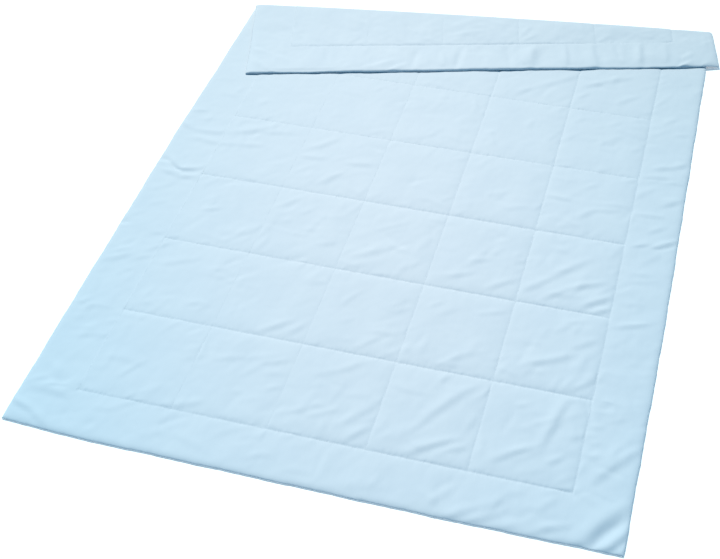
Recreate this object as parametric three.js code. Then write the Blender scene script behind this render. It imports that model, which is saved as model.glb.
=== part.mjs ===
import * as THREE from "three";

// A thin quilted summer duvet that lies flat, with its far end folded back over itself.
// Millimetres, +Z up. The origin is under the middle of the unfolded cloth, on the surface it lies on.
// Across is X, along is Y from the near end to the far end.

// The sewn cloth, laid flat
const WIDTH = 1400;
const LENGTH = 2000;
const SIDE_BORDER = 130;
const END_BORDER = 115;
const COLUMNS = 5;
const ROWS = 7;

// The loft: thickness of cloth and wadding
const SQUARE_LOFT = 8.5;
const BORDER_LOFT = 7.5;
const SEAM_LOFT = 3;
const CROWN_REACH = 58; // distance from a seam at which the loft is full
const EDGE_REACH = 14; // the same from the outer edge
const EDGE_RISE = 2.5; // height of the edge seam over the surface
const RESTING_GROOVE = 1; // depth of a seam in the face that lies down

// The fold: a line turned away from the seams, and the round nose of cloth along it
const FOLD_AT = 742; // along the middle of the cloth
const FOLD_SKEW = THREE.MathUtils.degToRad(7);
const NOSE_RADIUS = 11.5;
const NOSE_BOW = 9; // the nose runs this much further out in the middle of its length
const NOSE_BLEND = 90; // length of cloth on either side that follows the bow
const FLAP_SETTLE = 3; // the flap lies this much lower than the top of the nose
const FLAP_SETTLE_LENGTH = 120;

// Spacing of the lines on which the faces are shaped
const SEAM_SLOPE = 10; // width of a groove's slope beside a seam
const SEAM_LIP = [SEAM_SLOPE];
const EDGE_LIP = [2, 7]; // lines on the rounded lip along the edge
const SQUARE_STEPS = 4;
const BORDER_STEPS = 3;
const NOSE_STEPS = 8;

// How far the sewn edge wanders out from a straight line, at places along that edge
const LEFT_EDGE = [
  { at: -1000, out: 5 },
  { at: -500, out: 8 },
  { at: 0, out: 9 },
  { at: 400, out: 3 },
  { at: 1000, out: -6 },
];
const RIGHT_EDGE = [
  { at: -1000, out: -5 },
  { at: -350, out: 0 },
  { at: 100, out: -2 },
  { at: 600, out: -4 },
  { at: 1000, out: -8 },
];
const NEAR_EDGE = [
  { at: -700, out: 1 },
  { at: -500, out: 9 },
  { at: 300, out: 11 },
  { at: 700, out: 8 },
];
const FAR_EDGE = [
  { at: -700, out: 11 },
  { at: -350, out: 9 },
  { at: 250, out: 5 },
  { at: 700, out: 1 },
];

// The main creases of the face that shows: a soft ridge or trough from one point of the cloth to another
const CREASES = [
  { x: 630, y: -1000, toX: 695, toY: -915, rise: -3.2, reach: 26 },
  { x: 590, y: -985, toX: 670, toY: -880, rise: 2.2, reach: 30 },
  { x: 196, y: -813, toX: 317, toY: -654, rise: 1.6, reach: 30 },
  { x: 478, y: -770, toX: 511, toY: -649, rise: 1.4, reach: 28 },
  { x: 350, y: -360, toX: 460, toY: -219, rise: 1.6, reach: 28 },
  { x: 435, y: -549, toX: 539, toY: -476, rise: 1.4, reach: 28 },
  { x: 581, y: -20, toX: 689, toY: 37, rise: 2, reach: 26 },
  { x: 620, y: -841, toX: 681, toY: -747, rise: 1.6, reach: 30 },
  { x: -690, y: -100, toX: -571, toY: -125, rise: -1.8, reach: 26 },
  { x: -692, y: 30, toX: -336, toY: 6, rise: 1.4, reach: 32 },
  { x: -650, y: -924, toX: -595, toY: -925, rise: -1.6, reach: 26 },
  { x: 368, y: 480, toX: 513, toY: 573, rise: 1.2, reach: 30 },
  { x: -345, y: 900, toX: -335, toY: 985, rise: 1.6, reach: 26 },
  { x: 143, y: 900, toX: 150, toY: 985, rise: 1.6, reach: 26 },
  { x: 349, y: 900, toX: 340, toY: 985, rise: 1.6, reach: 26 },
];

const COLOUR = 0xcbe5f5;

const halfWidth = WIDTH / 2;
const halfLength = LENGTH / 2;
const seamX = seamLines(halfWidth, SIDE_BORDER, COLUMNS);
const seamY = seamLines(halfLength, END_BORDER, ROWS);
const slope = Math.tan(FOLD_SKEW);
const noseLength = Math.PI * NOSE_RADIUS;

// Places of the seams between equal squares inside a border.
function seamLines(half, border, squares) {
  const pitch = (2 * (half - border)) / squares;
  return Array.from({ length: squares + 1 }, (_, k) => border - half + k * pitch);
}

// A table's value at a place, eased from row to row.
function along(table, place) {
  const next = table.findIndex((row) => row.at >= place);
  if (next === 0) return table[0].out;
  if (next < 0) return table.at(-1).out;
  const before = table[next - 1];
  const after = table[next];
  const share = THREE.MathUtils.smoothstep(place, before.at, after.at);
  return THREE.MathUtils.lerp(before.out, after.out, share);
}

// Round rise of the loft beside a seam, from 0 on the seam to 1 at its reach.
function swell(distance, reach) {
  const left = 1 - Math.min(distance / reach, 1);
  return Math.sqrt(1 - left * left);
}

function nearest(lines, place) {
  return Math.min(...lines.map((line) => Math.abs(place - line)));
}

// How far a point lies outside the border seam's rectangle.
function outsideBorderSeam(x, y) {
  const overX = Math.max(Math.abs(x) - seamX.at(-1), 0);
  const overY = Math.max(Math.abs(y) - seamY.at(-1), 0);
  return Math.hypot(overX, overY);
}

function toEdge(x, y) {
  return Math.min(halfWidth - Math.abs(x), halfLength - Math.abs(y));
}

// Distance to the nearest seam, the edge not counted.
function toSeam(x, y) {
  const outside = outsideBorderSeam(x, y);
  if (outside > 0) return outside;
  return Math.min(nearest(seamX, x), nearest(seamY, y));
}

// Thickness of the filled cloth, away from its edge.
function loft(x, y) {
  const outside = outsideBorderSeam(x, y);
  if (outside > 0) return SEAM_LOFT + (BORDER_LOFT - SEAM_LOFT) * swell(outside, CROWN_REACH);
  const full = swell(nearest(seamX, x), CROWN_REACH) * swell(nearest(seamY, y), CROWN_REACH);
  return SEAM_LOFT + (SQUARE_LOFT - SEAM_LOFT) * full;
}

// Height that the creases add to the face that shows, fading at the seams.
function creased(x, y) {
  let height = 0;
  for (const { x: fromX, y: fromY, toX, toY, rise, reach } of CREASES) {
    const runX = toX - fromX;
    const runY = toY - fromY;
    const share = ((x - fromX) * runX + (y - fromY) * runY) / (runX * runX + runY * runY);
    const held = THREE.MathUtils.clamp(share, 0, 1);
    const off = Math.hypot(x - fromX - held * runX, y - fromY - held * runY);
    height += rise * Math.exp(-((off / reach) ** 2));
  }
  return height * swell(toSeam(x, y), CROWN_REACH);
}

// Distance past the fold line, measured square to it.
function pastFold(x, y) {
  return (y - FOLD_AT - x * slope) * Math.cos(FOLD_SKEW);
}

// Share of a point's turn over the fold: 0 where it lies, 1 on the flap.
function turned(x, y) {
  return THREE.MathUtils.smoothstep(pastFold(x, y), -noseLength / 2, noseLength / 2);
}

// Heights of the cloth's two faces above the plane that its underside lies on.
// The face that lies down is flat but for fine grooves, and the other one swells.
// Over the fold the two change places.
function faces(x, y) {
  const full = swell(toEdge(x, y), EDGE_REACH);
  const atSeam = 1 - Math.min(toSeam(x, y) / SEAM_SLOPE, 1);
  const resting = RESTING_GROOVE * atSeam + EDGE_RISE * (1 - full);
  const thickness = (loft(x, y) + creased(x, y)) * full;
  const flapUnder = SQUARE_LOFT - resting - thickness;
  const under = THREE.MathUtils.lerp(resting, flapUnder, turned(x, y));
  return { under, upper: under + thickness };
}

// A point of the cloth with the wander of its edges, which dies out at the border seam.
function wander(x, y) {
  const sideShare = Math.max(Math.abs(x) - seamX.at(-1), 0) / SIDE_BORDER;
  const endShare = Math.max(Math.abs(y) - seamY.at(-1), 0) / END_BORDER;
  const side = along(x < 0 ? LEFT_EDGE : RIGHT_EDGE, y) * Math.sign(x);
  const end = along(y < 0 ? NEAR_EDGE : FAR_EDGE, x) * Math.sign(y);
  return { x: x + side * sideShare, y: y + end * endShare };
}

// A point of the flat cloth, at a height in its loft, carried over the fold.
function folded(flatX, flatY, height) {
  const { x, y } = wander(flatX, flatY);
  const past = pastFold(x, y);
  const lineX = x + past * Math.sin(FOLD_SKEW);
  const lineY = y - past * Math.cos(FOLD_SKEW);
  const start = -noseLength / 2;
  const turn = THREE.MathUtils.clamp((past - start) / NOSE_RADIUS, 0, Math.PI);
  const beyond = Math.max(past + start, 0);
  const radius = NOSE_RADIUS - height;
  let out = Math.min(past, start) + radius * Math.sin(turn) - beyond;
  let z = NOSE_RADIUS - radius * Math.cos(turn);
  const middle = 1 - (lineX / halfWidth) ** 2;
  out += NOSE_BOW * middle * (1 - THREE.MathUtils.smoothstep(Math.abs(past), 0, NOSE_BLEND));
  z -= FLAP_SETTLE * THREE.MathUtils.smoothstep(beyond, 0, FLAP_SETTLE_LENGTH);
  return [lineX - out * Math.sin(FOLD_SKEW), lineY + out * Math.cos(FOLD_SKEW), z];
}

// Lines from one place up to the next, close together beside both and evenly spaced between.
function spread(from, to, lipsAtFrom, lipsAtTo, steps) {
  const limit = (to - from) / 4;
  const start = lipsAtFrom.map((lip) => from + Math.min(lip, limit));
  const end = lipsAtTo.map((lip) => to - Math.min(lip, limit)).reverse();
  const gap = end[0] - start.at(-1);
  const between = Array.from({ length: steps - 1 }, (_, k) => start.at(-1) + (gap * (k + 1)) / steps);
  return [from, ...start, ...between, ...end];
}

function columnLines() {
  const lines = spread(-halfWidth, seamX[0], EDGE_LIP, SEAM_LIP, BORDER_STEPS);
  for (let k = 0; k < COLUMNS; k++)
    lines.push(...spread(seamX[k], seamX[k + 1], SEAM_LIP, SEAM_LIP, SQUARE_STEPS));
  lines.push(...spread(seamX.at(-1), halfWidth, SEAM_LIP, EDGE_LIP, BORDER_STEPS));
  return [...lines, halfWidth];
}

// The last row of squares holds the fold, so its lines run with the fold and change with x.
function rowLines(x) {
  const lines = spread(-halfLength, seamY[0], EDGE_LIP, SEAM_LIP, BORDER_STEPS);
  for (let k = 0; k < ROWS - 1; k++)
    lines.push(...spread(seamY[k], seamY[k + 1], SEAM_LIP, SEAM_LIP, SQUARE_STEPS));
  const foldY = FOLD_AT + x * slope;
  const reach = noseLength / 2 / Math.cos(FOLD_SKEW);
  lines.push(...spread(seamY[ROWS - 1], foldY - reach, SEAM_LIP, SEAM_LIP, 1));
  for (let k = 0; k < NOSE_STEPS; k++) lines.push(foldY + reach * ((2 * k) / NOSE_STEPS - 1));
  lines.push(...spread(foldY + reach, seamY[ROWS], SEAM_LIP, SEAM_LIP, 2));
  lines.push(...spread(seamY[ROWS], halfLength, SEAM_LIP, EDGE_LIP, BORDER_STEPS));
  return [...lines, halfLength];
}

// Both faces are one net of the same lines, sewn together along the edge.
function clothGeometry() {
  const columns = columnLines();
  const rowCount = rowLines(0).length;
  const lastColumn = columns.length - 1;
  const lastRow = rowCount - 1;
  const points = [];
  const upperAt = [];
  const underAt = [];
  columns.forEach((x, i) => {
    const rows = rowLines(x);
    rows.forEach((y, j) => {
      const { under, upper } = faces(x, y);
      const place = i * rowCount + j;
      const onEdge = i === 0 || j === 0 || i === lastColumn || j === lastRow;
      upperAt[place] = points.push(folded(x, y, upper)) - 1;
      underAt[place] = onEdge ? upperAt[place] : points.push(folded(x, y, under)) - 1;
    });
  });
  const index = [];
  for (let i = 0; i < lastColumn; i++)
    for (let j = 0; j < lastRow; j++) {
      const corners = [i * rowCount + j, (i + 1) * rowCount + j];
      const [a, b, c, d] = [corners[0], corners[1], corners[1] + 1, corners[0] + 1];
      const quad = (i + j) % 2 ? [a, b, c, a, c, d] : [a, b, d, b, c, d];
      index.push(...quad.map((k) => upperAt[k]));
      index.push(...quad.map((k) => underAt[k]).reverse());
    }
  const geometry = new THREE.BufferGeometry();
  geometry.setAttribute("position", new THREE.Float32BufferAttribute(points.flat(), 3));
  geometry.setIndex(index);
  geometry.computeVertexNormals();
  return geometry;
}

const cover = new THREE.MeshStandardMaterial({ color: COLOUR, roughness: 0.85, metalness: 0 });
const duvet = new THREE.Mesh(clothGeometry(), cover);
duvet.name = "duvet";

const group = new THREE.Group();
group.name = "summer_duvet";
group.add(duvet);

export default group;
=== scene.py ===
# %% [markdown]
# # A summer duvet, quilted in squares
# The real thing is two light cotton covers with a thin sheet of wadding between them. They are sewn
# together round the edge, then along a border seam and a grid of seams. It lies flat, and its far end
# is folded back over itself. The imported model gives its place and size. This lesson makes the cloth
# that shows: the swelling squares, the pinched seams, the creases, the thread and the weave.

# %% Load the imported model
import math

import bpy
import numpy as np
from mathutils import Matrix, Vector


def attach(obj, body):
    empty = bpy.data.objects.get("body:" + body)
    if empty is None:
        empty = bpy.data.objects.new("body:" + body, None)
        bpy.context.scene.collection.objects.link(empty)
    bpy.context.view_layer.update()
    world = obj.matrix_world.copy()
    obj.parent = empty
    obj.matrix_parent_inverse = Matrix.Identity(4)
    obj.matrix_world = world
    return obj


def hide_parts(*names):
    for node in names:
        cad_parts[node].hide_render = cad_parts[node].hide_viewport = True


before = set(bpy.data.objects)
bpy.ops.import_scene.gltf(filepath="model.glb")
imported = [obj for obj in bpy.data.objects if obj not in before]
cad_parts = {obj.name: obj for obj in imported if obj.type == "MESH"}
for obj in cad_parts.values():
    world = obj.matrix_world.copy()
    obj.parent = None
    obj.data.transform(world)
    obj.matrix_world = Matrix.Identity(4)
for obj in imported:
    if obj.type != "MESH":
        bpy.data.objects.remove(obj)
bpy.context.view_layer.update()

MM = 0.001
scene = bpy.context.scene

# %% [markdown]
# ## The camera
# The stitched grid is a flat lattice of equal squares, so its corners in the picture give the camera:
# where it stands, how far it tips down and how long its lens is. The picture is cut off-centre, which
# is a small sideways shift of the lens and not a turn of the camera.

# %% Camera at the picture's viewing angle
PICTURE_WIDTH = 720
FOCAL_PIXELS = 1212
AXIS_PIXEL = 410
SENSOR_MM = 36
CAMERA_PLACE = (0.660, -2.334, 2.172)
AZIMUTH, ELEVATION, ROLL = -16.55, 46.61, -2.01
azimuth, elevation, roll = (math.radians(angle) for angle in (AZIMUTH, ELEVATION, ROLL))

ahead = Vector((math.sin(azimuth), math.cos(azimuth), 0))
forward = ahead * math.cos(elevation) - Vector((0, 0, math.sin(elevation)))
level = Vector((math.cos(azimuth), -math.sin(azimuth), 0))
upright = level.cross(forward)
right = level * math.cos(roll) + upright * math.sin(roll)
up = upright * math.cos(roll) - level * math.sin(roll)

lens = bpy.data.cameras.new("picture_camera")
lens.sensor_width = SENSOR_MM
lens.lens = SENSOR_MM * FOCAL_PIXELS / PICTURE_WIDTH
lens.shift_x = 0.5 - AXIS_PIXEL / PICTURE_WIDTH
camera = bpy.data.objects.new("picture_camera", lens)
aim = Matrix((right, up, -forward)).transposed().to_4x4()
camera.matrix_world = Matrix.Translation(CAMERA_PLACE) @ aim
scene.collection.objects.link(camera)
scene.camera = camera
print("lens", round(lens.lens, 1), "mm, shift", round(lens.shift_x, 3))

# %% [markdown]
# ## The sewn cloth, laid flat
# Everything is worked out on the flat cloth first, in millimetres, with x across and y along. The grid
# of seams stops at the border seam. Each place on the cloth knows how far it is from the seams and from
# the edge, and that is all the loft needs.

# %% Sizes and seams
WIDTH, LENGTH = 1400, 2000
SIDE_BORDER, END_BORDER = 130, 115
COLUMNS, ROWS = 5, 7
seam_x = np.linspace(SIDE_BORDER - WIDTH / 2, WIDTH / 2 - SIDE_BORDER, COLUMNS + 1)
seam_y = np.linspace(END_BORDER - LENGTH / 2, LENGTH / 2 - END_BORDER, ROWS + 1)


def nearest(lines, place):
    """Distance from each place to the nearest of the lines."""
    return np.abs(place[..., None] - lines).min(-1)


def outside_border_seam(x, y):
    return np.hypot(np.maximum(np.abs(x) - seam_x[-1], 0), np.maximum(np.abs(y) - seam_y[-1], 0))


def to_seam(x, y):
    inside = np.minimum(nearest(seam_x, x), nearest(seam_y, y))
    outside = outside_border_seam(x, y)
    return np.where(outside > 0, outside, inside)


def to_edge(x, y):
    return np.minimum(WIDTH / 2 - np.abs(x), LENGTH / 2 - np.abs(y))


print("squares of", round(seam_x[1] - seam_x[0]), "by", round(seam_y[1] - seam_y[0]), "mm")

# %% [markdown]
# ## The loft
# Wadding swells between the seams. Beside a seam the cover dips in a small sharp pinch, and further off it
# rounds over to a nearly flat crown. The seams were not all drawn in alike: the long ones fade out to the
# left, and the cross ones to the left and the far end, so short tables give the share of each. Round the
# fold the cloth is taut and its seams are nearly level, and at the right of the flap the squares slope down
# to the border seam without a pinch. The sewn edge is a quarter of an ellipse.

# %% Shapes of edge and groove
PINCH_SHARE, PINCH_REACH, CROWN_REACH = 0.8, 6.5, 58


def swell(distance, reach):
    """A quarter of an ellipse: from 0 on the line, steeply, to 1 at the reach."""
    return np.sqrt(1 - (1 - np.clip(distance / reach, 0, 1)) ** 2)


def eased(rows, place):
    """A table's value at each place, eased from row to row."""
    at, value = np.array(rows, float).T
    after = np.clip(np.searchsorted(at, place), 1, len(at) - 1)
    share = np.clip((place - at[after - 1]) / (at[after] - at[after - 1]), 0, 1)
    return value[after - 1] + (value[after] - value[after - 1]) * share * share * (3 - 2 * share)


def groove(distance):
    """1 on a seam, falling to 0: a small sharp pinch and then the long soft side of a crown."""
    pinch = np.exp(-distance / PINCH_REACH)
    crown = 1 - np.sin(np.clip(distance / CROWN_REACH, 0, 1) * math.pi / 2)
    return PINCH_SHARE * pinch + (1 - PINCH_SHARE) * crown


print("5 mm from a seam a groove has", round(float(groove(5)), 2), "of its depth")

# %% Thickness between the seams
SQUARE_LOFT, BORDER_LOFT, SEAM_LOFT = 8.5, 7.5, 3.0
LONG_GROOVES = [(-570, 0.03), (-342, 0.08), (-114, 0.26), (114, 0.46), (342, 0.57), (570, 0.62)]
CROSS_GROOVES = [(-570, 0.56), (400, 0.98)]
FAR_GROOVES = [(-200, 1), (126, 0.55), (379, 0.42)]
TAUT_SHARE = 0.55
TUCK_DEPTH, TUCK_REACH, TUCK_ACROSS = 1.4, 3.5, (-560, -480, 555, 575)
DIP_ACROSS = [(150, 0), (380, 1), (530, 1), (568, 0)]
DIP_PINCH, DIP_REACH = 0.5, 60


def loft(x, y, taut=0):
    """Thickness of the filled cloth. Round the fold it is taut, and the seams are drawn nearly level."""
    long_depth = eased(LONG_GROOVES, x)
    cross_depth = eased(CROSS_GROOVES, x) * eased(FAR_GROOVES, y)
    dipped = eased(DIP_ACROSS, x) * (y > (seam_y[-2] + seam_y[-1]) / 2)
    cross_depth = cross_depth * (1 + DIP_PINCH * dipped)
    dip = 1 - (1 - cross_depth) * (BORDER_LOFT - SEAM_LOFT) / (SQUARE_LOFT - SEAM_LOFT)
    dip = dip * np.clip(1 - (seam_y[-1] - y) / DIP_REACH, 0, 1)
    pinch = cross_depth * groove(nearest(seam_y, y))
    square = (1 - long_depth * groove(nearest(seam_x, x))) * (1 - pinch - (dip - pinch) * dipped)
    square = square + (1 - square) * TAUT_SHARE * taut
    outside = outside_border_seam(x, y)
    sideways = (np.maximum(np.abs(x) - seam_x[-1], 0) / np.maximum(outside, 0.01)) ** 2
    border = 1 - groove(outside) * (cross_depth + (long_depth - cross_depth) * sideways)
    tuck = np.exp(-(((y - seam_y[-1]) / TUCK_REACH) ** 2))
    tuck = tuck * np.interp(x, TUCK_ACROSS, (0, 1, 1, 0))
    swollen = np.where(outside > 0, (BORDER_LOFT - SEAM_LOFT) * border, (SQUARE_LOFT - SEAM_LOFT) * square)
    return SEAM_LOFT + swollen - TUCK_DEPTH * tuck * (1 - dipped)


print("loft", SEAM_LOFT, "mm on a seam,", SQUARE_LOFT, "mm in a square")

# %% [markdown]
# ## The main creases
# A duvet that was packed and shaken out keeps a few creases: deep tucks at the two near corners, a
# snaking pucker at the left edge, slanting pulls in the squares on the right, and puckers across the
# border of the flap. Each is a row: from one point of the flat cloth to another, how far it bows, how
# high it rises (or sinks) and how far it reaches to each side. A ridge has a shallow trough beside it,
# as pushed cloth has.

# %% Rows of creases
CREASE_COLUMNS = ("x", "y", "to_x", "to_y", "bow", "rise", "reach")
LYING_CREASES = [
    # near right corner
    (628, -1004, 690, -925, 4, -5.2, 10.5),
    (598, -1000, 686, -890, 6, 4.1, 15),
    (655, -1002, 698, -950, 0, 3.0, 6.5),
    (672, -1004, 700, -970, 0, -1.8, 5.5),
    # near border
    (506, -990, 578, -957, 3, 2.9, 7.5),
    (318, -1004, 374, -966, 2, 2.4, 9),
    (374, -966, 432, -934, 0, 1.7, 8),
    (360, -1000, 440, -960, 0, 2.3, 7.5),
    (506, -942, 540, -900, 0, 1.7, 7.5),
    (440, -1000, 470, -975, 0, 1.1, 7.5),
    (60, -985, 190, -960, 5, 1.0, 11.5),
    (-376, -964, -330, -944, 2, 1.0, 8),
    (-330, -944, -208, -972, 6, 1.0, 8),
    (-440, -948, -400, -992, 0, -1.0, 7.5),
    (-576, -948, -548, -980, 0, -0.9, 7.5),
    # nearest row of squares, right to left
    (482, -790, 514, -652, 3, 3.6, 10),
    (388, -846, 478, -784, 3, 2.8, 8),
    (430, -836, 480, -804, 0, 1.6, 6.5),
    (500, -830, 536, -798, 0, 2.3, 6.5),
    (530, -874, 562, -840, 0, 2.1, 6.5),
    (408, -694, 440, -670, 0, 2.0, 7.5),
    (512, -650, 556, -634, 0, 1.5, 6.5),
    (206, -800, 300, -664, 5, 2.9, 10),
    (160, -850, 206, -800, 0, 1.3, 10),
    (206, -872, 300, -810, 3, 3.0, 8),
    (282, -848, 326, -826, 0, 2.0, 6.5),
    (312, -790, 330, -730, 0, 1.6, 6.5),
    (40, -836, 108, -758, 0, 1.7, 9),
    (60, -876, 110, -820, 0, 2.2, 7.5),
    (-4, -692, 40, -650, 0, 1.7, 8),
    (-300, -728, -230, -702, 0, 1.3, 6.5),
    (-172, -742, -134, -730, 0, 1.0, 6.5),
    (-216, -856, -204, -812, 0, -1.0, 6.5),
    (-156, -702, -120, -684, 0, 1.0, 6.5),
    (-372, -694, -346, -682, 0, 0.9, 6.5),
    (-548, -778, -464, -780, 4, 1.3, 10.5),
    (-562, -850, -536, -878, 0, -0.9, 7.5),
    (-418, -874, -390, -826, 0, 0.9, 7.5),
    # near left corner
    (-652, -828, -630, -866, 0, 2.6, 9),
    (-672, -902, -584, -906, 5, 2.6, 10.5),
    (-698, -944, -640, -964, 0, 3.5, 7.5),
    (-640, -964, -602, -988, 0, 3.0, 7.5),
    # left edge, with its snaking pucker
    (-672, -84, -634, -120, -3, 3.2, 6.5),
    (-634, -120, -572, -98, -5, 2.7, 7.5),
    (-704, -94, -668, -98, 0, -3.3, 6.5),
    (-668, -100, -622, -134, -4, -3.3, 5.5),
    (-674, -134, -624, -150, 0, 2.2, 6.5),
    (-624, -150, -574, -136, -3, 2.1, 6.5),
    (-702, -352, -676, -350, 0, -2.5, 6.5),
    (-676, -455, -640, -434, 0, 1.8, 6.5),
    (-690, -492, -626, -452, 0, 1.7, 7.5),
    (-680, -640, -660, -615, 0, 1.7, 6.5),
    (-690, 120, -655, 130, 0, 1.7, 7.5),
    # long soft waves across the squares on the left
    (-640, 12, -520, 6, -5, 2.0, 9),
    (-520, 6, -452, 22, 0, 1.9, 9),
    (-328, 4, -262, 10, 0, 1.7, 8),
    (-200, 4, -128, 16, 0, 1.8, 8),
    (-700, 68, -660, 44, 0, 2.3, 8),
    (-660, 44, -560, 52, -3, 1.9, 9),
    (-560, 52, -446, 108, -5, 1.9, 10),
    (-468, 76, -396, 88, 0, 1.4, 8),
    (-330, 34, -254, 98, -5, 1.6, 9),
    (-520, -262, -470, -244, 0, 1.9, 5.5),
    (-82, -326, 4, -274, -3, 1.9, 9),
    (-248, -90, -206, -38, 0, 1.4, 10),
    (-544, -470, -460, -430, 0, 1.3, 8),
    (-616, -470, -580, -446, 0, 1.3, 6.5),
    (-228, -622, -158, -570, 2, 2.1, 7.5),
    (-162, -616, -126, -570, 0, 1.7, 7.5),
    # squares on the right, from near to far
    (396, -576, 456, -542, 2, 1.8, 8),
    (456, -542, 506, -514, 0, 2.4, 7.5),
    (494, -628, 520, -584, 0, 1.8, 6.5),
    (512, -622, 544, -594, 0, 1.7, 6.5),
    (546, -592, 564, -550, 0, 1.6, 6.5),
    (402, -604, 428, -564, 0, 1.2, 6.5),
    (452, -456, 496, -412, 0, 1.5, 8),
    (500, -496, 552, -456, 0, 1.7, 7.5),
    (262, -446, 328, -420, 0, 1.4, 6.5),
    (228, -606, 264, -572, 0, 1.2, 7.5),
    (170, -470, 210, -440, 0, 1.0, 7.5),
    (352, -342, 406, -292, 0, 2.4, 9),
    (406, -292, 490, -206, 3, 2.6, 9),
    (404, -358, 470, -304, 0, 2.6, 8),
    (470, -304, 546, -268, 0, 2.2, 8),
    (496, -368, 566, -312, 3, 2.8, 8),
    (536, -372, 566, -350, 0, 1.8, 5.5),
    (148, -342, 224, -314, 0, 1.6, 7.5),
    (200, -296, 240, -256, 0, 1.5, 7.5),
    (262, -358, 332, -302, -2, 1.9, 8),
    (440, -64, 476, -22, 4, 1.9, 7.5),
    (476, -22, 540, -8, 0, 1.6, 7.5),
    (350, 8, 408, 0, 0, 1.5, 6.5),
    (500, 6, 566, 12, 0, 1.2, 6.5),
    (192, -32, 238, -8, 0, 1.0, 7.5),
    (442, 236, 498, 284, 0, 1.6, 9),
    (458, 320, 490, 350, 0, 1.2, 8),
    (536, 230, 560, 250, 0, 1.1, 6.5),
    (366, 484, 420, 518, 0, 2.3, 9),
    (420, 518, 492, 556, 0, 2.3, 9),
    (466, 424, 522, 472, 2, 1.6, 8),
    (350, 424, 386, 456, 0, 1.5, 6.5),
    (182, 416, 226, 446, 0, 1.6, 7.5),
    (234, 452, 296, 496, 0, 1.5, 9),
    (296, 496, 338, 532, 0, 1.5, 9),
    # right border
    (608, -848, 686, -748, 4, 3.3, 10.5),
    (578, -668, 604, -656, 0, 1.5, 5.5),
    (580, -708, 606, -702, 0, 1.4, 5.5),
    (580, -750, 612, -746, 0, 1.2, 5.5),
    (590, -786, 616, -780, 0, 1.1, 5.5),
    (590, -406, 660, -380, 0, 2.4, 6.5),
    (590, -328, 640, -322, 0, 1.2, 6.5),
    (604, -222, 650, -220, 0, 1.4, 7.5),
    (588, -130, 632, -110, 0, 1.9, 6.5),
    (640, -124, 690, -92, 0, 3.3, 6.5),
    (620, -72, 664, -40, 0, 1.9, 6.5),
    (586, -10, 656, -6, 0, 1.9, 6.5),
    (642, 34, 690, 66, 0, 2.8, 7.5),
    (578, 138, 672, 150, 0, 1.7, 6.5),
    (602, 174, 654, 190, 0, 2.4, 7.5),
    (654, 190, 688, 212, 0, 2.6, 7.5),
    (644, 322, 680, 336, 0, 1.6, 6.5),
]
FLAP_CREASES = [
    # left end
    (-694, 890, -640, 918, 0, 1.6, 7.5),
    (-694, 930, -612, 1002, 4, 2.5, 7.5),
    (-660, 960, -628, 1004, 0, -1.6, 5.5),
    (-576, 796, -545, 842, 0, 1.4, 6.5),
    (-612, 930, -570, 948, 0, 1.4, 7.5),
    (-660, 760, -630, 830, 3, 1.3, 9),
    (-640, 994, -410, 994, 0, -2.2, 3.5),
    # border, left to right
    (-462, 898, -452, 960, 0, -1.6, 7.5),
    (-345, 986, -262, 952, 3, 2.3, 8),
    (-272, 1000, -222, 972, 0, 2.8, 6.5),
    (-186, 905, -202, 992, 2, -2.6, 7.5),
    (-120, 930, -100, 985, 0, 1.6, 8),
    (-52, 900, -74, 994, 2, -3.1, 8),
    (80, 898, 86, 988, 0, -1.9, 8),
    (160, 896, 140, 988, 4, 5.1, 16.5),
    (250, 898, 246, 990, 0, 3.0, 7.5),
    (324, 896, 332, 994, 3, 4.9, 15),
    (400, 898, 406, 960, 0, -2.3, 6.5),
    (470, 896, 460, 994, 2, 4.2, 10.5),
    (545, 900, 540, 985, 0, 2.0, 8),
    (570, 1004, 614, 976, 2, 4.9, 6.5),
    (588, 962, 624, 938, 0, 2.4, 7.5),
    (640, 1000, 668, 986, 0, 2.3, 5.5),
    # squares
    (-410, 730, -392, 792, 3, 0.8, 8),
    (-366, 842, -404, 882, 0, 0.9, 6.5),
    (-304, 716, -226, 748, 4, 0.8, 10),
    (-184, 740, -160, 796, 0, -0.8, 7.5),
    (-170, 850, -120, 872, 0, 0.9, 6.5),
    (-90, 802, 12, 770, -5, 1.3, 10),
    (-104, 850, 24, 818, -4, 1.1, 9),
    (20, 776, 88, 800, 3, 1.1, 8),
    (152, 808, 116, 852, 0, 1.6, 6.5),
    (170, 842, 126, 872, 0, 1.2, 6.5),
    (228, 790, 262, 832, 0, 1.0, 8),
    (386, 850, 352, 878, 0, 1.3, 6.5),
    (430, 836, 520, 866, 3, 1.1, 11.5),
]
TROUGH_SHARE, TROUGH_PLACE, TROUGH_REACH = 0.3, 1.9, 1.1
GENTLE_SIDE, STEEP_SIDE = 1.45, 0.85
RUN_OUT, TIP_REACH, TIP_FADE = 1.35, 0.55, 1.3


def creased(x, y, rows, clear=CROWN_REACH / 2):
    """Height that the creases add: leaning ridges that thin out to their ends and sink on the seams."""
    height = np.zeros_like(x)
    for row in rows:
        crease = dict(zip(CREASE_COLUMNS, row))
        run = Vector((crease["to_x"] - crease["x"], crease["to_y"] - crease["y"]))
        along = run.normalized()
        share = ((x - crease["x"]) * along.x + (y - crease["y"]) * along.y) / run.length
        aside = (y - crease["y"]) * along.x - (x - crease["x"]) * along.y
        aside = aside - crease["bow"] * 4 * share * (1 - share)
        middle = np.clip(1 - ((2 * share - 1) / RUN_OUT) ** 2, 0, 1)
        reach = crease["reach"] * (TIP_REACH + (1 - TIP_REACH) * middle)
        ridge = np.exp(-((aside / (reach * np.where(aside > 0, GENTLE_SIDE, STEEP_SIDE))) ** 2))
        trough = np.exp(-(((aside + TROUGH_PLACE * reach) / (TROUGH_REACH * reach)) ** 2))
        height += crease["rise"] * (ridge - TROUGH_SHARE * trough) * middle**TIP_FADE
    return height * swell(to_seam(x, y), clear)


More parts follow.
